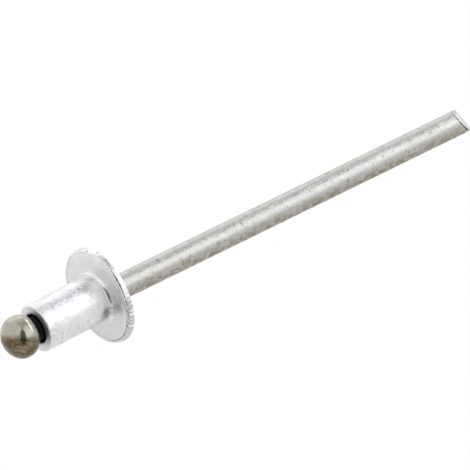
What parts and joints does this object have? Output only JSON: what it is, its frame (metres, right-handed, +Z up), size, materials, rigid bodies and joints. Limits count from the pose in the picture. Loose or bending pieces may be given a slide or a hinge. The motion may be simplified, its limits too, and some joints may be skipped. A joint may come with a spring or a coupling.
{
  "type": "blind rivet",
  "caption": "Blind rivet with a short open sleeve, a domed flange with a beaded rim, and a long plain mandrel with a round head and a pinched tail.",
  "frame": {"origin": "bottom centre of the bounding box, on the surface that the rivet lies on", "axes": "+X runs from the mandrel's head to its tail, in plan; +Z is up"},
  "size_m": [0.0382, 0.0066, 0.0066],
  "materials": {
    "aluminium_sleeve": "bright, as formed, with fine mottling",
    "plated_steel": "zinc plated, lightly tarnished"
  },
  "bodies": {
    "root": {"rivet_body": "aluminium_sleeve", "mandrel": "plated_steel"}
  },
  "joints": []
}
